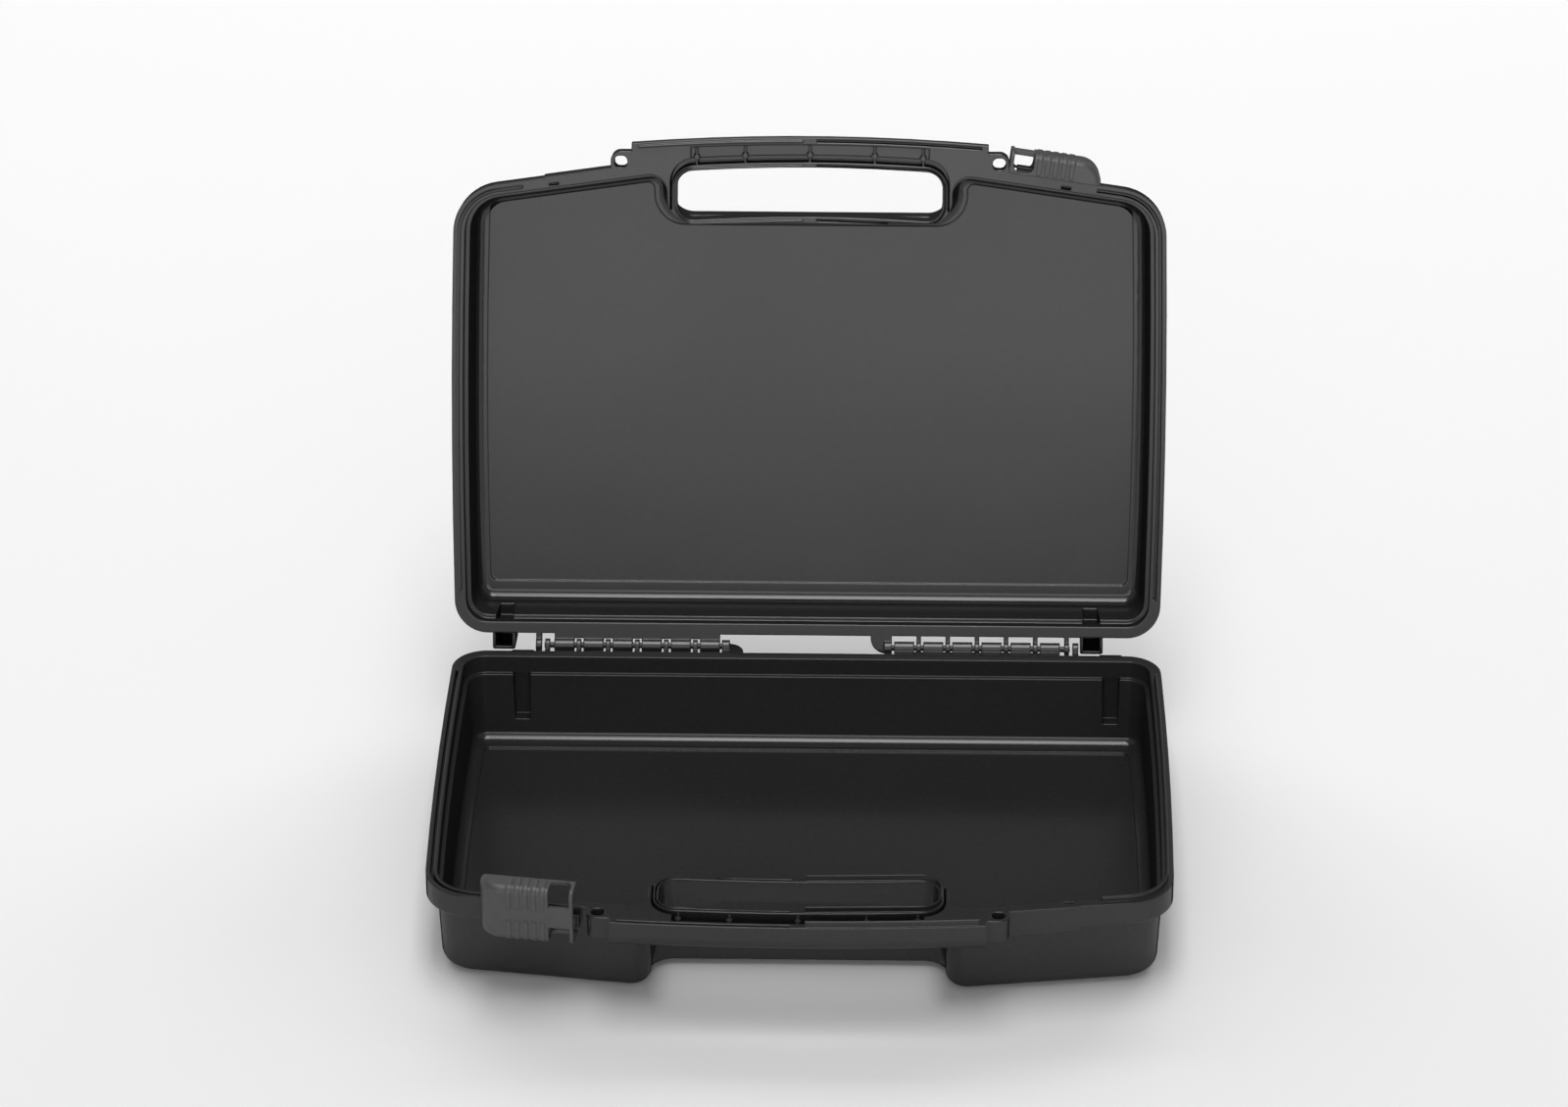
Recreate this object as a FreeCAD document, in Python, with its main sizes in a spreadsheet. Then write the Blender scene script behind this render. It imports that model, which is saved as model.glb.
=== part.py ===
# Carrying case for instruments: two like half shells of black polypropylene on a pinned
# hinge. Each half has half of the handle, one sliding latch and two eyes for a padlock.
# Frame: millimetres, +Z up, handle towards -Y, origin in the middle of the underside.
import FreeCAD, Part
import math
import os

V = FreeCAD.Vector

# Driving dimensions: name, value in millimetres or degrees, what it is
SIZES = [
    ("case_width", 319.4, "widest point of the rim, side to side"),
    ("body_depth", 211.6, "rim's back face to the front edge beside the handle"),
    ("side_bow", 1.4, "how far each side swells past its corners"),
    ("front_slope", 8.1, "angle by which each front edge falls back from the handle"),
    ("front_corner", 22.0, "radius of the rim's front corners"),
    ("back_corner", 15.0, "radius of the rim's back corners"),
    ("shell_height", 44.0, "underside to the parting plane"),
    ("collar_height", 10.4, "height of the collar round the rim"),
    ("collar_overhang", 4.6, "how far the collar stands out past the tub wall"),
    ("rim_width", 5.0, "width of the rim at the parting plane"),
    ("jog_depth", 8.4, "parting plane to the ledge inside the rim"),
    ("wall", 2.2, "thickness of the tub wall"),
    ("floor_thick", 2.5, "thickness of the floor"),
    ("draft", 2.8, "taper of the tub walls"),
    ("base_edge", 5.4, "radius of the tub's outer bottom edge"),
    ("floor_edge", 4.4, "radius between inner wall and floor"),
    ("panel_step", 1.0, "how far the rest panel stands out of the underside"),
    ("panel_side", 13.3, "rim to rest panel at the sides"),
    ("panel_front", 12.2, "rim to rest panel at the front"),
    ("panel_back", 16.8, "rim to rest panel at the back"),
    ("panel_corner", 3.2, "radius of the rest panel's corners"),
    ("panel_notch", 8.4, "finger slot's far side to rest panel"),
    ("panel_ends", 11.5, "finger slot's ends to rest panel"),
    ("panel_sweep", 14.0, "radius of the rest panel round the finger slot"),
    ("grip_length", 158.6, "length of the handle bar"),
    ("grip_reach", 10.1, "front edge to the bar's outer face, at the bar's ends"),
    ("grip_bow", 3.1, "how far the bar arches forward at its middle"),
    ("grip_depth", 13.5, "bar's outer face to the finger slot"),
    ("grip_height", 13.0, "height of half the bar"),
    ("grip_edge", 6.0, "radius of the bar's outer edge"),
    ("grip_lip", 3.3, "bar's outer face to its shelf"),
    ("shelf_depth", 3.0, "depth of the shelf in the bar"),
    ("shelf_end", 6.0, "end of the finger slot to the end of the shelf"),
    ("ring_wall", 2.2, "wall between the finger slot and the channel round it"),
    ("channel_width", 2.9, "width of that channel along the bar"),
    ("channel_side", 0.9, "width of that channel at the slot's ends"),
    ("channel_depth", 8.4, "depth of that channel"),
    ("channel_stop", 3.0, "end of that channel to the slot's far side"),
    ("slot_length", 118.0, "length of the finger slot"),
    ("slot_height", 22.1, "finger slot, front to back"),
    ("slot_corner", 7.5, "radius of the finger slot's corners"),
    ("slot_bow", 2.0, "arch of the finger slot's long sides"),
    ("notch_relief", 0.6, "tub wall set back from the finger slot's far side"),
    ("notch_side", 2.2, "tub wall set out from the finger slot's ends"),
    ("notch_outer", 10.0, "radius where the notch meets the front wall"),
    ("notch_inner", 8.5, "radius in the notch's inner corners"),
    ("rib_thick", 1.0, "thickness of the ribs in the bar"),
    ("rib_boss", 2.7, "diameter of the boss on each rib"),
    ("rib_near", 28.75, "middle rib to the next rib"),
    ("rib_far", 50.3, "middle rib to the last rib"),
    ("rib_drop", 1.2, "ribs below the parting plane"),
    ("groove_inset", 2.0, "rim's outer face to the sealing groove"),
    ("groove_width", 1.4, "width of the sealing groove"),
    ("groove_depth", 3.0, "depth of the sealing groove"),
    ("tongue_play", 0.15, "clearance on each side of the tongue in its groove"),
    ("tongue_height", 2.6, "height of the tongue"),
    ("seal_start", 49.2, "bar's end to the start of the seal, along the front edge"),
    ("hinge_offset", 5.4, "hinge axis behind the rim's back face"),
    ("knuckle_radius", 2.9, "outer radius of the hinge knuckles"),
    ("knuckle_web", 6.6, "height of the knuckle webs on the collar"),
    ("knuckle_flange", 2.2, "flange that joins the long knuckles, out from the collar"),
    ("flange_height", 3.0, "height of that flange at its edge"),
    ("knuckle_count", 6.0, "long knuckles in each hinge"),
    ("knuckle_pitch", 13.1, "long knuckle to long knuckle"),
    ("long_knuckle", 9.0, "width of a long knuckle"),
    ("short_knuckle", 2.1, "width of a short knuckle"),
    ("hinge_start", 39.2, "middle of the case to the first long knuckle"),
    ("pin_radius", 1.3, "radius of the hinge pins"),
    ("pin_play", 0.05, "radial clearance of the pins"),
    ("pin_reach", 4.3, "pin past the first long knuckle, into the gusset"),
    ("pin_spare", 0.4, "pin past the end knuckle"),
    ("end_gap", 2.0, "last long knuckle to the end knuckle"),
    ("stop_gap", 1.6, "end knuckle to the stop that keeps the pin in"),
    ("stop_width", 2.6, "width of that stop"),
    ("gusset_length", 9.0, "length of the rounded gusset inside each hinge"),
    ("foot_left", 128.0, "middle of the case to the foot on the left"),
    ("foot_right", 136.7, "middle of the case to the foot on the right"),
    ("foot_width", 10.3, "width of a foot"),
    ("foot_reach", 2.8, "foot past the hinge axis"),
    ("foot_start", 4.3, "parting plane to the top of a foot"),
    ("foot_height", 28.0, "height of a foot"),
    ("foot_wall", 1.3, "wall of the hollow foot"),
    ("foot_draft", 1.4, "taper of the feet"),
    ("eye_length", 5.8, "padlock eye, along the case"),
    ("eye_depth", 5.2, "padlock eye, front to back"),
    ("eye_corner", 2.3, "radius of the eye's corners"),
    ("eye_along", 4.8, "bar's end to the middle of the eye"),
    ("eye_wall", 2.0, "wall round the eye"),
    ("lug_corner", 4.2, "radius of the outer corner of the eye's lug"),
    ("eye_height", 10.4, "height of the eye"),
    ("pad_start", 9.5, "bar's end to the landing pad of the other shell's latch"),
    ("pad_length", 30.0, "length of the landing pad"),
    ("pad_proud", 0.4, "landing pad above the collar"),
    ("pad_height", 12.2, "height of the landing pad"),
    ("detent_along", 35.3, "bar's end to the latch's detent slot"),
    ("detent_length", 4.4, "length of the detent slot"),
    ("detent_depth", 3.0, "depth of the detent slot"),
    ("rail_start", 12.5, "bar's end to the latch's rail"),
    ("rail_length", 37.0, "length of the rail"),
    ("rail_neck", 1.5, "rail's neck, out from the collar"),
    ("rail_head", 1.5, "thickness of the rail's head"),
    ("rail_height", 5.4, "height of the rail's head"),
    ("rail_stem", 2.2, "height of the rail's neck"),
    ("rail_middle", 5.6, "parting plane to the middle of the rail"),
    ("latch_length", 41.0, "length of a latch"),
    ("latch_reach", 10.6, "front edge to the latch's outer face"),
    ("latch_height", 26.0, "height of a latch"),
    ("latch_wall", 2.0, "wall of a latch"),
    ("latch_gap", 0.9, "collar to the latch's flanges"),
    ("latch_play", 0.3, "clearance of a latch on its rail"),
    ("latch_end", 10.4, "radius of the latch's outer end"),
    ("latch_edge", 3.0, "radius of the latch's long edges"),
    ("latch_block", 11.0, "latch's inner end to the block that rides on the rail"),
    ("base_latch_along", 13.7, "bar's end to the base's latch, open"),
    ("lid_latch_along", 8.8, "bar's end to the lid's latch, part open"),
    ("window_start", 1.5, "latch's inner end to its windows"),
    ("window_length", 9.0, "length of the windows"),
    ("window_edge", 4.9, "parting plane to a window's edge on the face"),
    ("window_strip", 0.9, "strip of flange behind a window"),
    ("block_wall", 2.0, "wall of the riding block in front of the rail"),
    ("ridge_start", 12.0, "latch's inner end to the first grip ridge"),
    ("ridge_count", 5.0, "grip ridges on a latch"),
    ("ridge_pitch", 3.6, "grip ridge to grip ridge"),
    ("ridge_width", 2.0, "width of a grip ridge"),
    ("ridge_proud", 0.3, "height of a grip ridge"),
    ("ridge_back", 0.8, "flange's edge to the end of a grip ridge"),
    ("ridge_middle", 2.6, "parting plane to the end of a grip ridge"),
    ("lid_angle", 110.0, "how far the lid stands open"),
]

doc = FreeCAD.newDocument("instrument_case")
sheet = doc.addObject("Spreadsheet::Sheet", "Sizes")
for row, (alias, value, meaning) in enumerate(SIZES, start=1):
    sheet.set(f"A{row}", str(value))
    sheet.set(f"B{row}", meaning)
    sheet.setAlias(f"A{row}", alias)
doc.recompute()


def size(alias):
    return float(sheet.get(alias))


# Places worked out from the driving dimensions
bar_half = size("grip_length") / 2
back_y = size("body_depth") / 2
front_y = -size("body_depth") / 2
hinge_y = back_y + size("hinge_offset")
rim_z = size("shell_height")
slope = math.radians(size("front_slope"))
bar_end_y = front_y - size("grip_reach")
bar_tip_y = bar_end_y - size("grip_bow")
slot_half = size("slot_length") / 2
slot_near_y = bar_tip_y + size("grip_depth")
slot_far_y = slot_near_y + size("slot_height")
pin_inner_x = size("hinge_start") - size("pin_reach")

RIM = "Sizes.shell_height"
COLLAR_FOOT = "Sizes.shell_height - Sizes.collar_height"
LEDGE = "Sizes.shell_height - Sizes.jog_depth"
FOOT_TOP = "Sizes.shell_height - Sizes.foot_start"
LONG_RUN = "(Sizes.knuckle_count - 1) * Sizes.knuckle_pitch + Sizes.long_knuckle"
HINGE_RUN = LONG_RUN + " + Sizes.end_gap + Sizes.short_knuckle"


# Flat outlines


def rounded(corners, closed=True):
    """Tangent lines and arcs along a polygon of (x, y, radius) corners."""
    n = len(corners)
    spots = [V(x, y, 0) for x, y, _ in corners]
    turns = []
    tangents = []
    for i, (_, _, radius) in enumerate(corners):
        back = spots[i - 1] - spots[i]
        ahead = spots[(i + 1) % n] - spots[i]
        half = back.getAngle(ahead) / 2
        turns.append(half)
        tangents.append(radius / math.tan(half) if radius else 0.0)
    for i in range(n if closed else n - 1):
        j = (i + 1) % n
        room = (spots[j] - spots[i]).Length * 0.98
        wanted = tangents[i] + tangents[j]
        if wanted > room:
            tangents[i] *= room / wanted
            tangents[j] *= room / wanted
    edges = []
    for i in range(n):
        j = (i + 1) % n
        here = spots[i]
        back = (spots[i - 1] - here).normalize()
        ahead = (spots[j] - here).normalize()
        if tangents[i] > 0:
            radius = tangents[i] * math.tan(turns[i])
            inward = (back + ahead).normalize() * (radius / math.sin(turns[i]) - radius)
            edges.append(Part.Arc(here + back * tangents[i], here + inward, here + ahead * tangents[i]))
        if closed or j:
            start = here + ahead * tangents[i]
            end = spots[j] - ahead * tangents[j]
            if (end - start).Length > 1e-4:
                edges.append(Part.LineSegment(start, end))
    return edges


def block(x0, y0, x1, y1, radius=0.0):
    return rounded([(x0, y0, radius), (x1, y0, radius), (x1, y1, radius), (x0, y1, radius)])


def front_line(x, inset=0.0):
    """Y of the front edge at x, set back square to the edge by inset."""
    return front_y + (abs(x) - bar_half) * math.tan(slope) + inset / math.cos(slope)


def rail(along, out, side):
    """Point beside the front edge: along it from the bar's end, and out in front of the collar."""
    x = bar_half + along * math.cos(slope) + out * math.sin(slope)
    return side * x, front_y + along * math.sin(slope) - out * math.cos(slope)


def rail_block(along, length, inner, outer, side):
    """A strip beside the front edge."""
    ends = [(along, inner), (along + length, inner), (along + length, outer), (along, outer)]
    return rounded([rail(a, o, side) + (0.0,) for a, o in ends])


def side_run(side_inset, front_inset, back_inset):
    """Front corner, swell and back corner of the right side, as (x, y, radius)."""
    corner_x = size("case_width") / 2 - size("side_bow") - side_inset
    swell_x = corner_x + size("side_bow") / 0.6
    back = back_y - back_inset
    front = front_line(corner_x, front_inset)
    half = (back - front) / 2
    swell_r = half * 0.8 * half * 0.6 / max(size("side_bow"), 0.01)
    r_back = max(size("back_corner") - back_inset, 1.0)
    r_front = max(size("front_corner") - front_inset, 1.0)
    swell = (swell_x, (back + front) / 2, swell_r)
    return [(corner_x, front, r_front), swell, (corner_x, back, r_back)]


def mirrored(corners):
    return [(-x, y, r) for x, y, r in reversed(corners)]


def body_outline(right, front_inset, notch=None):
    """The case's closed outline from its right side, with the handle's notch if asked."""
    if notch is None:
        return rounded(right + mirrored(right) + [(0.0, front_line(0.0, front_inset), 0.0)])
    side_gap, far_gap, r_outer, r_inner = notch
    side_x = slot_half + side_gap
    far_y = slot_far_y + far_gap
    half_notch = [(-side_x, front_line(side_x, front_inset), r_outer), (-side_x, far_y, r_inner)]
    return rounded(right + mirrored(right) + half_notch + mirrored(half_notch))


def wall_outline(inset, thickness):
    """Outline set in from the rim, with the notch thickness inside the tub's outer face."""
    side_gap = size("notch_side") + thickness
    far_gap = size("notch_relief") + thickness
    r_outer = max(size("notch_outer") - thickness, 1.0)
    notch = (side_gap, far_gap, r_outer, size("notch_inner") + thickness)
    return body_outline(side_run(inset, inset, inset), inset, notch)


def panel_outline():
    right = side_run(size("panel_side"), size("panel_front"), size("panel_back"))
    right[0] = right[0][:2] + (size("panel_corner"),)
    right[2] = right[2][:2] + (size("panel_corner"),)
    notch = (size("panel_ends"), size("panel_notch"), size("panel_corner"), size("panel_sweep"))
    return body_outline(right, size("panel_front"), notch)


def arch(x_half, y, radius):
    """Corners of a long side of the finger slot, which arches towards the front."""
    bow = size("slot_bow")
    crown = x_half * x_half / (2 * bow) * 0.85
    return [(-x_half, y + bow, radius), (0.0, y - bow * 0.7, crown), (x_half, y + bow, radius)]


def channel_run(out, side_out, radius):
    """One edge of the channel round the finger slot's near side and ends."""
    x = slot_half + side_out
    stop = slot_far_y - size("channel_stop")
    corners = [(-x, stop, 0.0)] + arch(x, slot_near_y - out, radius) + [(x, stop, 0.0)]
    return rounded(corners, closed=False)


def bar_line(x):
    """Y of the bar's outer face at x."""
    return bar_tip_y + size("grip_bow") * (x / bar_half) ** 2


def bar_arc(x0, x1, inset):
    spots = [V(x, bar_line(x) + inset, 0) for x in (x0, (x0 + x1) / 2, x1)]
    return Part.Arc(*spots)


def closed_strip(near, far):
    """Two open runs of edges joined at their ends into one closed outline."""
    caps = [
        Part.LineSegment(near[0].StartPoint, far[0].StartPoint),
        Part.LineSegment(near[-1].EndPoint, far[-1].EndPoint),
    ]
    return near + far + caps


def seal_run(side, inset, back_gap):
    """One edge of the rim's seal, from the front edge to the back corner."""
    corner, swell, back = side_run(inset, inset, inset)
    start_x, start_y = rail(size("seal_start"), -inset, 1)
    share = (back[1] - size("back_corner") - back_gap - swell[1]) / (back[1] - swell[1])
    stop = (swell[0] + (back[0] - swell[0]) * share, swell[1] + (back[1] - swell[1]) * share, 0.0)
    corners = [(start_x, start_y, 0.0), corner, swell, stop]
    return rounded([(side * x, y, r) for x, y, r in corners], closed=False)


def slot_run(side, offset):
    """One edge of the finger slot's seal, round one end of the slot."""
    x = side * (slot_half + offset)
    r = size("slot_corner") + offset
    bow = size("slot_bow")
    near = slot_near_y - offset
    far = slot_far_y + offset
    start = (side * 3.0, near + bow * 0.1, 0.0)
    stop = (side * 3.0, far + bow * 0.1, 0.0)
    return rounded([start, (x, near + bow, r), (x, far + bow, r), stop], closed=False)


def bar_run(side, inset):
    x0 = side * 3.0
    x1 = side * (bar_half - 3.0)
    return [bar_arc(x0, x1, inset)]


# Features of a body


def origin_of(body, role):
    return next(f for f in body.Origin.OriginFeatures if f.Role == role)


def sketch(body, name, edges, level, role):
    """A sketch on an origin plane, lifted to a level that is bound to the sheet."""
    made = body.newObject("Sketcher::SketchObject", name)
    made.AttachmentSupport = [(origin_of(body, role), "")]
    made.MapMode = "FlatFace"
    made.setExpression("AttachmentOffset.Base.z", level)
    made.addGeometry(edges, False)
    return made


def finished(body, feature):
    body.Tip = feature
    doc.recompute()
    if not feature.isValid() or feature.Shape.isNull():
        raise RuntimeError(f"{feature.Name} failed")
    return feature


def pad(body, name, edges, level, length, down=True, taper=None, role="XY_Plane"):
    made = body.newObject("PartDesign::Pad", name)
    made.Profile = sketch(body, name + "_sketch", edges, level, role)
    made.setExpression("Length", length)
    made.Reversed = down
    if taper:
        made.setExpression("TaperAngle", taper)
    return finished(body, made)


def pocket(body, name, edges, level, length, taper=None, role="XY_Plane"):
    before = body.Shape.Volume
    made = body.newObject("PartDesign::Pocket", name)
    made.Profile = sketch(body, name + "_sketch", edges, level, role)
    made.setExpression("Length", length)
    if taper:
        made.setExpression("TaperAngle", taper)
    finished(body, made)
    if body.Shape.Volume > before - 1e-3:
        raise RuntimeError(f"{name} cuts nothing")
    return made


def fillet(body, name, radius, wanted):
    """Rounds the edges of the body's tip that wanted accepts."""
    tip = body.Tip
    names = [f"Edge{i}" for i, e in enumerate(tip.Shape.Edges, start=1) if wanted(e)]
    made = body.newObject("PartDesign::Fillet", name)
    made.Base = (tip, names)
    made.setExpression("Radius", radius)
    return finished(body, made)


def pattern(body, name, feature, count, pitch, backwards=False):
    """Copies a feature along the case's width."""
    made = body.newObject("PartDesign::LinearPattern", name)
    made.Originals = [feature]
    made.Direction = (origin_of(body, "X_Axis"), [""])
    made.Reversed = backwards
    made.Mode = "Spacing"
    made.setExpression("Offset", pitch)
    made.setExpression("Occurrences", count)
    return finished(body, made)


def flat_at(z, test=None):
    """Accepts edges that lie flat at z and whose box passes the test."""

    def wanted(edge):
        box = edge.BoundBox
        level = abs(box.ZMin - z) < 1e-3 and abs(box.ZMax - z) < 1e-3
        return level and (test is None or test(box))

    return wanted


# Half shell


def add_tub(body):
    inset = size("collar_overhang")
    pad(body, "collar", body_outline(side_run(0, 0, 0), 0), RIM, "Sizes.collar_height")
    depth = COLLAR_FOOT + " - Sizes.panel_step"
    pad(body, "tub", wall_outline(inset, 0), COLLAR_FOOT, depth, taper="-Sizes.draft")
    fillet(body, "tub_edge", "Sizes.base_edge", flat_at(size("panel_step")))
    pad(body, "rest_panel", panel_outline(), "Sizes.panel_step", "Sizes.panel_step")


def add_grip(body):
    inner_y = slot_far_y + 1.0
    plate = [bar_arc(-bar_half, bar_half, 0)]
    plate.append(Part.LineSegment(V(bar_half, bar_end_y, 0), V(bar_half, inner_y, 0)))
    plate.append(Part.LineSegment(V(bar_half, inner_y, 0), V(-bar_half, inner_y, 0)))
    plate.append(Part.LineSegment(V(-bar_half, inner_y, 0), V(-bar_half, bar_end_y, 0)))
    pad(body, "grip_plate", plate, RIM, "Sizes.collar_height")
    arc = bar_arc(-bar_half, bar_half, 0)
    inner = bar_arc(-bar_half, bar_half, size("grip_depth"))
    pad(body, "grip_bar", closed_strip([arc], [inner]), RIM, "Sizes.grip_height")

    def outer(box):
        return box.XLength > bar_half and box.YMax < bar_end_y + 0.5

    fillet(body, "grip_edge", "Sizes.grip_edge", flat_at(rim_z - size("grip_height"), outer))
    for side, word in ((-1, "left"), (1, "right")):
        centre_x = side * (bar_half + size("eye_along"))
        half = size("eye_length") / 2 + size("eye_wall") * 0.8
        outer_y = front_line(centre_x) - size("eye_depth") - size("eye_wall")
        far_x = centre_x + side * half
        corner = (far_x, outer_y, size("lug_corner"))
        near_x = side * (bar_half - 1.0)
        inside = [(far_x, front_line(far_x) + 1.0, 0.0), (near_x, front_line(near_x) + 1.0, 0.0)]
        lug = rounded([(near_x, outer_y, 0.0), corner] + inside)
        pad(body, f"eye_lug_{word}", lug, RIM, "Sizes.eye_height")


def flange_profile():
    """Flange along the collar between the long knuckles, across the case's width."""
    root = back_y - 0.8
    edge = back_y + size("knuckle_flange")
    low = rim_z - size("knuckle_web")
    spots = [(root, rim_z), (edge, rim_z), (edge, rim_z - size("flange_height")), (root, low)]
    return rounded([spot + (0.0,) for spot in spots])


def knuckle_profile():
    """Barrel round the hinge axis with a web to the collar, across the case's width."""
    r = size("knuckle_radius")
    root = back_y - 0.8
    axis = V(hinge_y, rim_z, 0)
    top = V(hinge_y - r, rim_z, 0)
    low = axis - V(0, r, 0)
    diagonal = r * math.sqrt(0.5)
    return [
        Part.LineSegment(V(root, rim_z, 0), top),
        Part.Arc(top, axis + V(diagonal, diagonal, 0), low),
        Part.LineSegment(low, V(root, rim_z - size("knuckle_web"), 0)),
        Part.LineSegment(V(root, rim_z - size("knuckle_web"), 0), V(root, rim_z, 0)),
    ]


def add_hinge(body):
    """Long knuckles on the right, short ones and the gusset on the left."""
    profile = knuckle_profile()

    def knuckle(name, level, width, down=False):
        return pad(body, name, profile, level, width, down=down, role="YZ_Plane")

    long_one = knuckle("long_knuckle", "Sizes.hinge_start", "Sizes.long_knuckle")
    pattern(body, "long_knuckles", long_one, "Sizes.knuckle_count", "Sizes.knuckle_pitch")
    pad(body, "knuckle_flange", flange_profile(), "Sizes.hinge_start", LONG_RUN, False, role="YZ_Plane")
    end = f"Sizes.hinge_start + {LONG_RUN} + Sizes.end_gap"
    stop = end + " + Sizes.short_knuckle + Sizes.stop_gap"
    knuckle("pin_stop", stop, "Sizes.stop_width")
    gap = "(Sizes.knuckle_pitch - Sizes.long_knuckle - Sizes.short_knuckle) / 2"
    first = f"-(Sizes.hinge_start + Sizes.long_knuckle + {gap})"
    short_one = knuckle("short_knuckle", first, "Sizes.short_knuckle", down=True)
    count = "Sizes.knuckle_count - 1"
    pattern(body, "short_knuckles", short_one, count, "Sizes.knuckle_pitch", backwards=True)
    knuckle("end_knuckle", f"-({end})", "Sizes.short_knuckle", down=True)
    knuckle("gusset_knuckle", f"-(Sizes.hinge_start - {gap})", "Sizes.short_knuckle + 1.4")
    outer_x = -size("hinge_start") + 1.6
    inner_x = outer_x + size("gusset_length")
    tip_y = hinge_y + size("knuckle_radius") * 0.9
    root_y = back_y - 0.8
    curve = [(outer_x, root_y, 0.0), (outer_x, tip_y, 0.0), (inner_x, tip_y, 7.0), (inner_x, root_y, 0.0)]
    pad(body, "gusset", rounded(curve), RIM, "Sizes.knuckle_radius")


def add_feet(body):
    half = size("foot_width") / 2
    tip_y = hinge_y + size("foot_reach")
    for x, word in ((-size("foot_left"), "left"), (size("foot_right"), "right")):
        shape = block(x - half, back_y - size("collar_overhang") - size("wall"), x + half, tip_y, 1.0)
        pad(body, f"foot_{word}", shape, FOOT_TOP, "Sizes.foot_height", taper="-Sizes.foot_draft")


def add_latch_seats(body):
    """Rail for the shell's own latch on the left, landing pad for the other's on the right."""
    neck = rail_block(size("rail_start"), size("rail_length"), -0.8, size("rail_neck") + 0.2, -1)
    head_out = size("rail_neck") + size("rail_head")
    head = rail_block(size("rail_start"), size("rail_length"), size("rail_neck"), head_out, -1)
    neck_top = RIM + " - Sizes.rail_middle + Sizes.rail_stem / 2"
    head_top = RIM + " - Sizes.rail_middle + Sizes.rail_height / 2"
    pad(body, "rail_neck", neck, neck_top, "Sizes.rail_stem")
    pad(body, "rail_head", head, head_top, "Sizes.rail_height")
    landing = rail_block(size("pad_start"), size("pad_length"), -3.0, size("pad_proud"), 1)
    pad(body, "landing_pad", landing, RIM, "Sizes.pad_height")


def cut_cavity(body):
    inset = size("collar_overhang") + size("wall")
    pocket(body, "mouth", wall_outline(size("rim_width"), size("wall")), RIM, "Sizes.jog_depth")
    floor = "Sizes.panel_step + Sizes.floor_thick"
    cavity = wall_outline(inset, size("wall"))
    pocket(body, "cavity", cavity, LEDGE, f"{LEDGE} - ({floor})", taper="-Sizes.draft")
    fillet(body, "floor_edge", "Sizes.floor_edge", flat_at(size("panel_step") + size("floor_thick")))
    pocket(body, "floor_panel", panel_outline(), floor, "Sizes.panel_step")


def cut_grip(body):
    radius = size("slot_corner")
    far_side = arch(slot_half, slot_far_y, radius)
    slot = rounded(arch(slot_half, slot_near_y, radius) + far_side[::-1])
    pocket(body, "finger_slot", slot, RIM, "Sizes.grip_height + 1")
    wall = size("ring_wall")
    inner = channel_run(wall, wall, radius + wall)
    outer_reach = wall + size("channel_width")
    outer = channel_run(outer_reach, wall + size("channel_side"), radius + wall + 1.0)
    pocket(body, "slot_channel", closed_strip(inner, outer), RIM, "Sizes.channel_depth")
    half = slot_half - size("shelf_end")
    shelf_far = size("grip_depth") - outer_reach
    lip = bar_arc(-half, half, size("grip_lip"))
    edge = bar_arc(-half, half, shelf_far + 1.0)
    pocket(body, "bar_shelf", closed_strip([lip], [edge]), RIM, "Sizes.shelf_depth")
    ribs = []
    bosses = []
    for x in (0.0, size("rib_near"), -size("rib_near"), size("rib_far"), -size("rib_far")):
        near = bar_line(x) + size("grip_lip") - 0.8
        far = bar_line(x) + size("grip_depth") - wall + 0.8
        ribs += block(x - size("rib_thick") / 2, near, x + size("rib_thick") / 2, far)
        centre = V(x, bar_line(x) + shelf_far - 0.5, 0)
        bosses.append(Part.Circle(centre, V(0, 0, 1), size("rib_boss") / 2))
    top = RIM + " - Sizes.rib_drop"
    depth = "Sizes.channel_depth - Sizes.rib_drop"
    pad(body, "bar_ribs", ribs, top, depth)
    pad(body, "bar_bosses", bosses, top, depth)
    eyes = []
    for side in (-1, 1):
        x = side * (bar_half + size("eye_along"))
        y = front_line(x) - size("eye_depth")
        half_eye = size("eye_length") / 2
        eyes += block(x - half_eye, y, x + half_eye, y + size("eye_depth"), size("eye_corner"))
    pocket(body, "padlock_eyes", eyes, RIM, "Sizes.eye_height + 1")


def cut_details(body):
    """Hollow feet, pin holes and the detent slots."""
    half = size("foot_width") / 2 - size("foot_wall")
    tip_y = hinge_y + size("foot_reach") - size("foot_wall")
    wall_y = back_y - size("collar_overhang")
    hollows = []
    channels = []
    for x in (-size("foot_left"), size("foot_right")):
        hollows += block(x - half, back_y + 0.2, x + half, tip_y, 0.6)
        channels += block(x - half, wall_y - 20, x + half, wall_y + 2.6, 0.6)
    depth = "Sizes.foot_height - Sizes.foot_wall"
    pocket(body, "foot_hollows", hollows, FOOT_TOP, depth, taper="-Sizes.foot_draft")
    reach = "Sizes.foot_start + Sizes.foot_height - Sizes.jog_depth - Sizes.foot_wall"
    pocket(body, "foot_channels", channels, LEDGE, reach, taper="-Sizes.foot_draft")
    hole = [Part.Circle(V(hinge_y, rim_z, 0), V(0, 0, 1), size("pin_radius") + size("pin_play"))]
    inner = "Sizes.hinge_start - Sizes.pin_reach - 0.2"
    length = f"{HINGE_RUN} + Sizes.pin_reach + Sizes.pin_spare + 0.4"
    pocket(body, "pin_hole_right", hole, f"{inner} + {length}", length, role="YZ_Plane")
    pocket(body, "pin_hole_left", hole, f"-({inner})", length, role="YZ_Plane")
    start = size("detent_along") - size("detent_length") / 2
    slots = []
    for side in (-1, 1):
        slots += rail_block(start, size("detent_length"), -4, -3, side)
    pocket(body, "detent_slots", slots, RIM, "Sizes.detent_depth")


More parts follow.
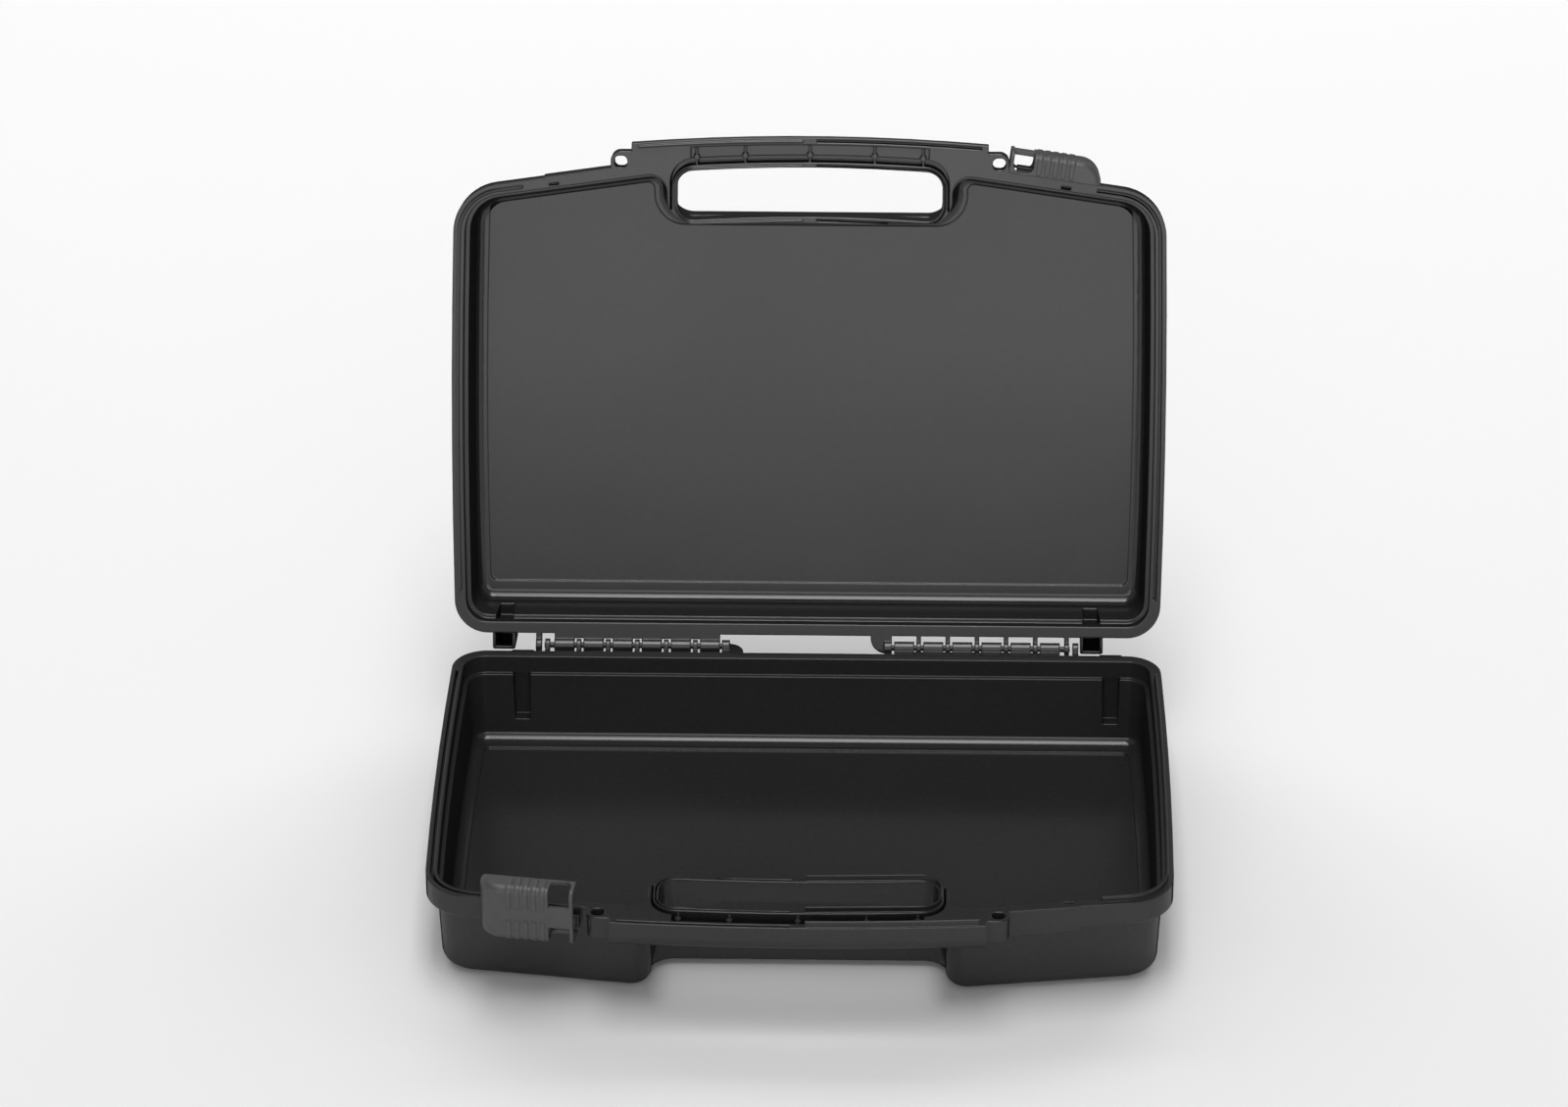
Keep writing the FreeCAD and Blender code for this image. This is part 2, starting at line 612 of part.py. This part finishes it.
def add_seal(body):
    """Groove on the left half of the rim, tongue on the right half."""
    near = size("groove_inset")
    far = near + size("groove_width")
    play = size("tongue_play")
    groove = closed_strip(seal_run(-1, near, 0.0), seal_run(-1, far, 0.0))
    groove += closed_strip(bar_run(-1, 1.0), bar_run(-1, 2.2))
    groove += closed_strip(slot_run(-1, 0.7), slot_run(-1, 1.6))
    pocket(body, "seal_groove", groove, RIM, "Sizes.groove_depth")
    tongue = closed_strip(seal_run(1, near + play, 2.0), seal_run(1, far - play, 2.0))
    tongue += closed_strip(bar_run(1, 1.0 + play), bar_run(1, 2.2 - play))
    tongue += closed_strip(slot_run(1, 0.7 + play), slot_run(1, 1.6 - play))
    pad(body, "seal_tongue", tongue, RIM, "Sizes.tongue_height", down=False)


def make_shell(label):
    body = doc.addObject("PartDesign::Body", label)
    body.Label = label
    add_tub(body)
    add_grip(body)
    add_hinge(body)
    add_feet(body)
    add_latch_seats(body)
    cut_cavity(body)
    cut_grip(body)
    cut_details(body)
    add_seal(body)
    return body


# Latch: along the rail, out from the collar, own shell below its middle


def latch_plan(inset, start, back):
    """Plan of the latch with its rounded outer end."""
    end = size("latch_length") - inset
    out = size("latch_reach") - inset
    r = max(size("latch_end") - inset, 1.0)
    return rounded([(start, back, 0.0), (end, back, 0.0), (end, out, r), (start, out, 0.0)])


def edge_band(side):
    """Quarter ring round a long edge of the latch, across its length."""
    proud = size("ridge_proud")
    radius = size("latch_edge")
    centre = V(size("latch_reach") - radius, size("latch_height") / 2 - radius, 0)
    arcs = []
    for r in (radius - 0.8, radius + proud):
        spots = []
        for angle in (90, 45, 0):
            turn = math.radians(angle)
            spot = centre + V(r * math.cos(turn), r * math.sin(turn), 0)
            spots.append(V(spot.x, side * spot.y, 0))
        arcs.append(spots)
    near, far = arcs
    caps = [Part.LineSegment(near[0], far[0]), Part.LineSegment(near[2], far[2])]
    return [Part.Arc(*near), Part.Arc(*far)] + caps


def add_ridges(body):
    """Grip ridges that wrap the latch's long edges and end round on its faces."""
    top = size("latch_height") / 2
    edge = size("latch_edge")
    width = size("ridge_width")
    back = size("latch_gap") + size("ridge_back")
    front = size("latch_reach") - edge
    flank = []
    face = []
    for k in range(int(size("ridge_count"))):
        u0 = size("ridge_start") + k * size("ridge_pitch")
        u1 = u0 + width
        end = width * 0.49
        flank += rounded([(u0, back, end), (u1, back, end), (u1, front, 0.0), (u0, front, 0.0)])
        for side in (-1, 1):
            stop = side * size("ridge_middle")
            start = side * (top - edge)
            face += rounded([(u0, stop, end), (u1, stop, end), (u1, start, 0.0), (u0, start, 0.0)])
    proud = "Sizes.ridge_proud"
    pad(body, "flank_ridges", flank, f"Sizes.latch_height / 2 + {proud}", f"Sizes.latch_height + 2 * {proud}")
    level = f"-(Sizes.latch_reach + {proud})"
    pad(body, "face_ridges", face, level, f"{proud} + 1", False, role="XZ_Plane")
    bands = edge_band(-1) + edge_band(1)
    band = pad(body, "edge_ridge", bands, "Sizes.ridge_start", "Sizes.ridge_width", False, role="YZ_Plane")
    pattern(body, "edge_ridges", band, "Sizes.ridge_count", "Sizes.ridge_pitch")


def make_latch(label):
    body = doc.addObject("PartDesign::Body", label)
    body.Label = label
    gap = size("latch_gap")
    reach = size("latch_reach")
    top = size("latch_height") / 2
    half_height = "Sizes.latch_height / 2"
    pad(body, "latch_solid", latch_plan(0, 0, gap), half_height, "Sizes.latch_height")

    def outer(box):
        return box.XLength > 1.0 and box.YMax > gap + 1.0

    def long_edge(edge):
        return flat_at(top, outer)(edge) or flat_at(-top, outer)(edge)

    fillet(body, "latch_edges", "Sizes.latch_edge", long_edge)
    add_ridges(body)
    hollow_top = half_height + " - Sizes.latch_wall"
    hollow = latch_plan(size("latch_wall"), -1.0, gap - 1.0)
    pocket(body, "latch_hollow", hollow, hollow_top, "Sizes.latch_height - 2 * Sizes.latch_wall")
    start = size("latch_block")
    stop = size("latch_length") - size("latch_wall") - 1.5
    play = size("latch_play")
    head_out = size("rail_neck") + size("rail_head") + play
    riding = block(start, gap - 0.4, stop, head_out + size("block_wall"))
    depth = "Sizes.latch_height / 2 - Sizes.latch_wall / 2 - 0.6"
    pad(body, "rail_block", riding, "-0.6", depth)
    through = size("latch_length") + 1
    neck = block(start - 1, gap - 2, through, size("rail_neck") + 0.1)
    head = block(start - 1, size("rail_neck") - play, through, head_out)
    neck_top = "-Sizes.rail_middle + Sizes.rail_stem / 2 + Sizes.latch_play"
    head_top = "-Sizes.rail_middle + Sizes.rail_height / 2 + Sizes.latch_play"
    pocket(body, "neck_slot", neck, neck_top, "Sizes.rail_stem + 2 * Sizes.latch_play")
    pocket(body, "head_slot", head, head_top, "Sizes.rail_height + 2 * Sizes.latch_play")
    w0 = size("window_start")
    w1 = w0 + size("window_length")
    back = gap + size("window_strip")
    window = rounded([(w0, back, 3.0), (w1, back, 3.0), (w1, reach + 2, 0.0), (w0, reach + 2, 0.0)])
    wrap = half_height + " - Sizes.window_edge + 1"
    pocket(body, "far_window", window, half_height + " + 1", wrap)
    pocket(body, "near_window", window, "-Sizes.window_edge", wrap)
    return body


def make_pin(label, side):
    pin = doc.addObject("Part::Cylinder", label)
    pin.Label = label
    pin.setExpression("Radius", "Sizes.pin_radius")
    pin.setExpression("Height", f"{HINGE_RUN} + Sizes.pin_reach + Sizes.pin_spare")
    along = FreeCAD.Rotation(V(0, 1, 0), 90 * side)
    pin.Placement = FreeCAD.Placement(V(side * pin_inner_x, hinge_y, rim_z), along)
    return pin


def like(label, original, placement):
    """A second moulding of the same shape, in another place."""
    copy = doc.addObject("Part::Compound", label)
    copy.Label = label
    copy.Links = [original]
    copy.Placement = placement
    return copy


# Places of the lid and the latches

turn_over = FreeCAD.Placement(V(0, 0, 2 * rim_z), FreeCAD.Rotation(V(0, 1, 0), 180))
swing = FreeCAD.Rotation(V(1, 0, 0), -size("lid_angle"))
opened = FreeCAD.Placement(V(0, 0, 0), swing, V(0, hinge_y, rim_z))
on_lid = opened * turn_over


def latch_place(along):
    x, y = rail(along, 0.0, -1)
    return FreeCAD.Placement(V(x, y, rim_z), FreeCAD.Rotation(V(0, 0, 1), 180 - size("front_slope")))


base_shell = make_shell("base_shell")
lid_shell = like("lid_shell", base_shell, on_lid)
base_latch = make_latch("base_latch")
slide = latch_place(size("lid_latch_along")) * latch_place(size("base_latch_along")).inverse()
base_latch.Placement = latch_place(size("base_latch_along"))
lid_latch = like("lid_latch", base_latch, on_lid * slide)
left_hinge_pin = make_pin("left_hinge_pin", -1)
right_hinge_pin = make_pin("right_hinge_pin", 1)
doc.recompute()

for item in doc.Objects:
    if {"Invalid", "Error"} & set(item.State):
        raise RuntimeError(f"{item.Name}: {item.State}")

os.makedirs("parts", exist_ok=True)
for node in (base_shell, lid_shell, base_latch, lid_latch, left_hinge_pin, right_hinge_pin):
    shape = node.Shape
    if shape.isNull() or not shape.isValid():
        raise RuntimeError(f"{node.Label} has no valid shape")
    shape.exportStep(f"parts/{node.Label}.step")
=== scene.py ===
import math

import bpy
from bpy.props import FloatProperty, FloatVectorProperty, PointerProperty
from mathutils import Matrix, Vector

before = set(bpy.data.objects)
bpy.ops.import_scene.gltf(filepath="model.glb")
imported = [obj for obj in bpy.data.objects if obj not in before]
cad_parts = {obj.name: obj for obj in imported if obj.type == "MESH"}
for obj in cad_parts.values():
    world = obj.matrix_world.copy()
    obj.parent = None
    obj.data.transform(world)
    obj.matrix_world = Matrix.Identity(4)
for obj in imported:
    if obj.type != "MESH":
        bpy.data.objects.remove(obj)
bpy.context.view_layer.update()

bl_info = {
    "name": "Instrument case",
    "version": (1, 0, 0),
    "blender": (4, 5, 0),
    "location": "View3D > Sidebar > Case",
    "description": "Finishes an open instrument case of black moulded plastic and sets it in a studio",
    "category": "Object",
}

MM = 0.001
WHITE = (1.0, 1.0, 1.0, 1.0)

# The range that most of a noise lies in
NOISE_LOW = 0.3
NOISE_HIGH = 0.7

# Moulded plastic: scale of its patterns per metre, and how far they change the finish
FLOW_SCALE = 9.0
FLOW_DETAIL = 3.0
SPECK_SCALE = 420.0
PLASTIC_DARK = 0.86
PLASTIC_LIGHT = 1.16
SATIN_SPREAD = 0.03
GRAIN_STRENGTH = 0.07
GRAIN_DEPTH = 0.05 * MM
EDGE_SAMPLES = 8

# Its gloss: how far a surface turns away before it is matt, and the one level for where nodes are left out
MATT_FACING = 0.8
MEAN_SPECULAR = 0.4

# Drawn steel: marks per metre along and across the wire, and how far they change the finish
MARKS_ALONG = 30.0
MARKS_ACROSS = 2600.0
STEEL_DARK = 0.8
STEEL_LIGHT = 1.1
STEEL_SMOOTH = 0.28
STEEL_ROUGH = 0.42
MARK_STRENGTH = 0.1
MARK_DEPTH = 0.02 * MM

# Floor: its side, its faint clouding, and the distances between which it fades to white
FLOOR_SIDE = 60.0
FLOOR_ROUGHNESS = 0.7
CLOUD_SCALE = 3.0
CLOUD_DARK = 0.995
FADE_START = 0.7
FADE_END = 2.0

# White band above the floor's far edge: solid up to the first height, gone at the second
BAND_SOLID = math.radians(5)
BAND_TOP = math.radians(9)

# Place, target and sides of each soft box, in metres
FRONT_BOX = ((0.0, -3.0, 1.30), (0.0, 0.0, 1.20), (3.0, 1.2))
TOP_BOX = ((0.0, 0.0, 2.2), (0.0, 0.0, 0.0), (0.6, 1.9))
GLINT_BOX = ((0.0, -0.2, 2.25), (0.0, -0.2, 0.0), (1.0, 3.2))
BACK_BOX = ((0.0, 3.3, 2.2), (0.0, 0.0, 0.1), (5.5, 1.8))

# Camera: width of the picture in pixels and of the sensor in millimetres, and how far it sees in metres
PICTURE_WIDTH = 1600
SENSOR_WIDTH = 36.0
SIGHT = 100.0


# Sizes and colours a user would change


class PlasticSettings(bpy.types.PropertyGroup):
    """Finish of the moulded plastic"""

    shell_colour: FloatVectorProperty(
        name="Shell colour", description="Colour of the two half shells",
        subtype="COLOR", size=3, min=0.0, max=1.0, default=(0.026, 0.026, 0.0264),
    )
    latch_colour: FloatVectorProperty(
        name="Latch colour", description="Colour of the two sliding latches",
        subtype="COLOR", size=3, min=0.0, max=1.0, default=(0.074, 0.074, 0.075),
    )
    shell_roughness: FloatProperty(
        name="Shell roughness", description="Roughness of the half shells' satin surface",
        subtype="FACTOR", min=0.0, max=1.0, default=0.18,
    )
    latch_roughness: FloatProperty(
        name="Latch roughness", description="Roughness of the latches' surface",
        subtype="FACTOR", min=0.0, max=1.0, default=0.40,
    )
    gloss: FloatProperty(
        name="Gloss", description="Specular level of the satin surface seen head on",
        subtype="FACTOR", min=0.0, max=1.0, default=0.55,
    )
    edge_radius: FloatProperty(
        name="Edge radius", description="Rounding that the mould leaves on every sharp edge",
        unit="LENGTH", min=0.0, default=1.0 * MM,
    )
    grain_size: FloatProperty(
        name="Grain size", description="Size of the eroded grain on the surface",
        unit="LENGTH", min=0.0, default=0.7 * MM,
    )


class PinSettings(bpy.types.PropertyGroup):
    """Finish of the hinge pins"""

    steel_colour: FloatVectorProperty(
        name="Steel colour", description="Colour of the drawn steel wire",
        subtype="COLOR", size=3, min=0.0, max=1.0, default=(0.045, 0.045, 0.046),
    )


class StudioSettings(bpy.types.PropertyGroup):
    """Studio, light and camera"""

    floor_colour: FloatVectorProperty(
        name="Floor colour", description="Colour of the floor",
        subtype="COLOR", size=3, min=0.0, max=1.0, default=(0.93, 0.93, 0.93),
    )
    room_strength: FloatProperty(
        name="Room light", description="Strength of the even light from all round",
        min=0.0, default=0.30,
    )
    front_power: FloatProperty(
        name="Front light", description="Power of the soft box in front of the case",
        unit="POWER", min=0.0, default=19.0,
    )
    top_power: FloatProperty(
        name="Top light", description="Power of the soft box above the case",
        unit="POWER", min=0.0, default=18.0,
    )
    glint_power: FloatProperty(
        name="Glint light", description="Power of the long panel that only the gloss shows",
        unit="POWER", min=0.0, default=24.0,
    )
    back_power: FloatProperty(
        name="Back light", description="Power of the soft box above and behind the case",
        unit="POWER", min=0.0, default=112.0,
    )
    camera_place: FloatVectorProperty(
        name="Camera place", description="Place of the camera",
        subtype="TRANSLATION", unit="LENGTH", size=3, default=(0.04166, -2.30349, 1.48051),
    )
    camera_right: FloatVectorProperty(
        name="Camera right", description="Direction to the right of the picture",
        subtype="DIRECTION", size=3, default=(0.9997872, 0.02056509, -0.00161926),
    )
    camera_up: FloatVectorProperty(
        name="Camera up", description="Direction to the top of the picture",
        subtype="DIRECTION", size=3, default=(-0.00884292, 0.49817376, 0.86703213),
    )
    focal_length: FloatProperty(
        name="Focal length", description="Focal length in pixels of the picture",
        min=1.0, default=6369.7,
    )


# Node helpers


def new_material(name):
    """An empty node material with its surface shader and output."""
    material = bpy.data.materials.new(name)
    material.use_nodes = True
    nodes = material.node_tree.nodes
    nodes.clear()
    output = nodes.new("ShaderNodeOutputMaterial")
    shader = nodes.new("ShaderNodeBsdfPrincipled")
    material.node_tree.links.new(shader.outputs["BSDF"], output.inputs["Surface"])
    return material, nodes, material.node_tree.links, shader


def arithmetic(nodes, links, operation, *terms):
    """One operation of a Math node, on outputs of other nodes or plain numbers."""
    node = nodes.new("ShaderNodeMath")
    node.operation = operation
    for socket, term in zip(node.inputs, terms):
        if isinstance(term, float):
            socket.default_value = term
        else:
            links.new(term, socket)
    return node.outputs["Value"]


def noise(nodes, links, coordinates, scale, detail=2.0):
    texture = nodes.new("ShaderNodeTexNoise")
    texture.inputs["Scale"].default_value = scale
    texture.inputs["Detail"].default_value = detail
    links.new(coordinates, texture.inputs["Vector"])
    return texture.outputs["Fac"]


def spread(nodes, links, factor, low, high):
    """Maps a noise around its middle to the range from low to high."""
    span = nodes.new("ShaderNodeMapRange")
    span.inputs["From Min"].default_value = NOISE_LOW
    span.inputs["From Max"].default_value = NOISE_HIGH
    span.inputs["To Min"].default_value = low
    span.inputs["To Max"].default_value = high
    links.new(factor, span.inputs["Value"])
    return span.outputs["Result"]


def smooth_step(nodes, links, value, start, end):
    """0 at start and 1 at end, with a soft change between."""
    step = nodes.new("ShaderNodeMapRange")
    step.interpolation_type = "SMOOTHSTEP"
    step.inputs["From Min"].default_value = start
    step.inputs["From Max"].default_value = end
    links.new(value, step.inputs["Value"])
    return step.outputs["Result"]


def tinted(nodes, links, colour, dark, light, factor):
    """A colour times dark where the factor is 0, and times light where it is 1."""
    tint = nodes.new("ShaderNodeMix")
    tint.data_type = "RGBA"
    tint.inputs["A"].default_value = [c * dark for c in colour] + [1.0]
    tint.inputs["B"].default_value = [c * light for c in colour] + [1.0]
    links.new(factor, tint.inputs["Factor"])
    return tint.outputs["Result"]


def bumped(nodes, links, height, strength, depth):
    """A bump node that raises the surface by a pattern."""
    bump = nodes.new("ShaderNodeBump")
    bump.inputs["Strength"].default_value = strength
    bump.inputs["Distance"].default_value = depth
    links.new(height, bump.inputs["Height"])
    return bump


def seeing_rays(nodes, links):
    """1 for the rays that show a background: straight, mirrored or through glass."""
    rays = nodes.new("ShaderNodeLightPath").outputs
    direct = arithmetic(nodes, links, "MAXIMUM", rays["Is Camera Ray"], rays["Is Glossy Ray"])
    return arithmetic(nodes, links, "MAXIMUM", direct, rays["Is Transmission Ray"])


def show_white(nodes, links, plain, white, where):
    """Mixes white into a plain shader, for the rays that show a background."""
    mix = nodes.new("ShaderNodeMixShader")
    links.new(arithmetic(nodes, links, "MULTIPLY", where, seeing_rays(nodes, links)), mix.inputs["Fac"])
    links.new(plain, mix.inputs[1])
    links.new(white, mix.inputs[2])
    return mix.outputs["Shader"]


def white_glow(nodes, strength):
    """Even white light from all round."""
    glow = nodes.new("ShaderNodeBackground")
    glow.inputs["Color"].default_value = WHITE
    glow.inputs["Strength"].default_value = strength
    return glow.outputs["Background"]


# Materials


def moulded_plastic(name, colour, roughness, settings):
    """Satin dark plastic with an eroded grain, faint flow marks and rounded edges."""
    material, nodes, links, shader = new_material(name)
    place = nodes.new("ShaderNodeTexCoord").outputs["Object"]
    flow = noise(nodes, links, place, FLOW_SCALE, FLOW_DETAIL)
    speck = noise(nodes, links, place, SPECK_SCALE)
    grain = noise(nodes, links, place, 1.0 / settings.grain_size)
    mean = arithmetic(nodes, links, "MULTIPLY", arithmetic(nodes, links, "ADD", flow, speck), 0.5)
    patches = spread(nodes, links, mean, 0.0, 1.0)
    links.new(tinted(nodes, links, colour, PLASTIC_DARK, PLASTIC_LIGHT, patches), shader.inputs["Base Color"])
    satin = spread(nodes, links, flow, roughness - SATIN_SPREAD, roughness + SATIN_SPREAD)
    links.new(satin, shader.inputs["Roughness"])
    edge = nodes.new("ShaderNodeBevel")
    edge.samples = EDGE_SAMPLES
    edge.inputs["Radius"].default_value = settings.edge_radius
    bump = bumped(nodes, links, grain, GRAIN_STRENGTH, GRAIN_DEPTH)
    links.new(edge.outputs["Normal"], bump.inputs["Normal"])
    links.new(bump.outputs["Normal"], shader.inputs["Normal"])
    satin_gloss(nodes, links, shader, settings.gloss)
    return material


def satin_gloss(nodes, links, shader, gloss):
    """Gloss that is full head on and fades out at a slant."""
    facing = nodes.new("ShaderNodeLayerWeight")
    fade = nodes.new("ShaderNodeMapRange")
    fade.inputs["From Max"].default_value = MATT_FACING
    fade.inputs["To Min"].default_value = gloss
    fade.inputs["To Max"].default_value = 0.0
    links.new(facing.outputs["Facing"], fade.inputs["Value"])
    shader.inputs["Specular IOR Level"].default_value = MEAN_SPECULAR
    links.new(fade.outputs["Result"], shader.inputs["Specular IOR Level"])


def drawn_steel(name, colour):
    """Steel wire with fine marks along its length."""
    material, nodes, links, shader = new_material(name)
    stretch = nodes.new("ShaderNodeMapping")
    stretch.inputs["Scale"].default_value = (MARKS_ALONG, MARKS_ACROSS, MARKS_ACROSS)
    links.new(nodes.new("ShaderNodeTexCoord").outputs["Object"], stretch.inputs["Vector"])
    marks = noise(nodes, links, stretch.outputs["Vector"], 1.0)
    links.new(tinted(nodes, links, colour, STEEL_DARK, STEEL_LIGHT, marks), shader.inputs["Base Color"])
    links.new(spread(nodes, links, marks, STEEL_SMOOTH, STEEL_ROUGH), shader.inputs["Roughness"])
    bump = bumped(nodes, links, marks, MARK_STRENGTH, MARK_DEPTH)
    links.new(bump.outputs["Normal"], shader.inputs["Normal"])
    shader.inputs["Metallic"].default_value = 1.0
    return material


def pale_floor(colour):
    """Matt pale floor that shows as plain white far from the case, beyond its shadow."""
    material, nodes, links, shader = new_material("pale_floor")
    place = nodes.new("ShaderNodeTexCoord").outputs["Object"]
    clouds = noise(nodes, links, place, CLOUD_SCALE)
    links.new(tinted(nodes, links, colour, CLOUD_DARK, 1.0, clouds), shader.inputs["Base Color"])
    shader.inputs["Roughness"].default_value = FLOOR_ROUGHNESS
    shader.inputs["Specular IOR Level"].default_value = 0.0
    white = nodes.new("ShaderNodeEmission")
    reach = nodes.new("ShaderNodeVectorMath")
    reach.operation = "LENGTH"
    links.new(place, reach.inputs[0])
    far = smooth_step(nodes, links, reach.outputs["Value"], FADE_START, FADE_END)
    faded = show_white(nodes, links, shader.outputs["BSDF"], white.outputs["Emission"], far)
    links.new(faded, nodes["Material Output"].inputs["Surface"])
    return material


# Object helpers


def deselect_all():
    bpy.ops.object.select_all(action="DESELECT")


def give(material, *nodes):
    """Puts a material in every slot of the named CAD nodes."""
    for name in nodes:
        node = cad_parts[name]
        if not node.material_slots:
            node.data.materials.append(material)
        for place in node.material_slots:
            place.material = material


# Operators


class CASE_OT_shells(bpy.types.Operator):
    """Finish the two half shells"""

    bl_idname = "case.shells"
    bl_label = "Half shells"

    def execute(self, context):
        settings = context.scene.case_plastic
        plastic = moulded_plastic("shell_plastic", settings.shell_colour, settings.shell_roughness, settings)
        give(plastic, "base_shell", "lid_shell")
        return {"FINISHED"}


class CASE_OT_latches(bpy.types.Operator):
    """Finish the two sliding latches"""

    bl_idname = "case.latches"
    bl_label = "Latches"

    def execute(self, context):
        settings = context.scene.case_plastic
        plastic = moulded_plastic("latch_plastic", settings.latch_colour, settings.latch_roughness, settings)
        give(plastic, "base_latch", "lid_latch")
        return {"FINISHED"}


class CASE_OT_pins(bpy.types.Operator):
    """Finish the hinge pins"""

    bl_idname = "case.pins"
    bl_label = "Hinge pins"

    def execute(self, context):
        settings = context.scene.case_pins
        give(drawn_steel("pin_steel", settings.steel_colour), "left_hinge_pin", "right_hinge_pin")
        return {"FINISHED"}


class CASE_OT_studio(bpy.types.Operator):
    """Set the floor, light and camera"""

    bl_idname = "case.studio"
    bl_label = "Studio"

    def execute(self, context):
        settings = context.scene.case_studio
        self.lay_floor(settings)
        self.light_room(context.scene, settings)
        self.hang_lights(settings)
        self.place_camera(context.scene, settings)
        context.scene.view_settings.view_transform = "Standard"
        return {"FINISHED"}

    def lay_floor(self, settings):
        deselect_all()
        bpy.ops.mesh.primitive_plane_add(size=FLOOR_SIDE, location=(0, 0, 0))
        floor = bpy.context.object
        floor.name = "floor"
        floor.data.materials.append(pale_floor(settings.floor_colour))

    def light_room(self, scene, settings):
        """Even light from all round, with a white band above the floor's far edge."""
        world = bpy.data.worlds.new("studio_room")
        scene.world = world
        world.use_nodes = True
        nodes = world.node_tree.nodes
        links = world.node_tree.links
        nodes.clear()
        output = nodes.new("ShaderNodeOutputWorld")
        way = nodes.new("ShaderNodeSeparateXYZ")
        links.new(nodes.new("ShaderNodeTexCoord").outputs["Generated"], way.inputs["Vector"])
        low = smooth_step(nodes, links, way.outputs["Z"], math.sin(BAND_TOP), math.sin(BAND_SOLID))
        room = white_glow(nodes, settings.room_strength)
        links.new(show_white(nodes, links, room, white_glow(nodes, 1.0), low), output.inputs["Surface"])

    def hang_lights(self, settings):
        self.soft_box("front_light", settings.front_power, *FRONT_BOX)
        self.soft_box("top_light", settings.top_power, *TOP_BOX)
        glint = self.soft_box("glint_light", settings.glint_power, *GLINT_BOX)
        glint.visible_diffuse = False
        back = self.soft_box("back_light", settings.back_power, *BACK_BOX)
        back.visible_glossy = False

    def soft_box(self, name, power, place, target, sides):
        deselect_all()
        bpy.ops.object.light_add(type="AREA", location=place)
        lamp = bpy.context.object
        lamp.name = name
        lamp.data.energy = power
        lamp.data.shape = "RECTANGLE"
        lamp.data.size, lamp.data.size_y = sides
        lamp.rotation_euler = (Vector(target) - Vector(place)).to_track_quat("-Z", "Y").to_euler()
        return lamp

    def place_camera(self, scene, settings):
        deselect_all()
        bpy.ops.object.camera_add()
        camera = bpy.context.object
        camera.name = "camera"
        right = Vector(settings.camera_right).normalized()
        up = Vector(settings.camera_up).normalized()
        back = right.cross(up)
        turn = Matrix((right, up, back)).transposed().to_4x4()
        camera.matrix_world = Matrix.Translation(Vector(settings.camera_place)) @ turn
        camera.data.sensor_fit = "HORIZONTAL"
        camera.data.sensor_width = SENSOR_WIDTH
        camera.data.lens = settings.focal_length * SENSOR_WIDTH / PICTURE_WIDTH
        camera.data.clip_end = SIGHT
        scene.camera = camera


class CASE_PT_panel(bpy.types.Panel):
    """Lists the steps that finish the case"""

    bl_idname = "CASE_PT_panel"
    bl_label = "Instrument case"
    bl_space_type = "VIEW_3D"
    bl_region_type = "UI"
    bl_category = "Case"

    def draw(self, context):
        for settings in (context.scene.case_plastic, context.scene.case_pins, context.scene.case_studio):
            for name in settings.__annotations__:
                self.layout.prop(settings, name)
        for operator in OPERATORS:
            self.layout.operator(operator.bl_idname)


SETTINGS = {"case_plastic": PlasticSettings, "case_pins": PinSettings, "case_studio": StudioSettings}
OPERATORS = (CASE_OT_shells, CASE_OT_latches, CASE_OT_pins, CASE_OT_studio)


def register():
    for name, settings in SETTINGS.items():
        bpy.utils.register_class(settings)
        setattr(bpy.types.Scene, name, PointerProperty(type=settings))
    for operator in OPERATORS:
        bpy.utils.register_class(operator)
    bpy.utils.register_class(CASE_PT_panel)


def unregister():
    bpy.utils.unregister_class(CASE_PT_panel)
    for operator in reversed(OPERATORS):
        bpy.utils.unregister_class(operator)
    for name, settings in reversed(SETTINGS.items()):
        delattr(bpy.types.Scene, name)
        bpy.utils.unregister_class(settings)


def main():
    register()
    deselect_all()
    bpy.ops.case.shells()
    bpy.ops.case.latches()
    bpy.ops.case.pins()
    bpy.ops.case.studio()


if __name__ == "__main__":
    main()
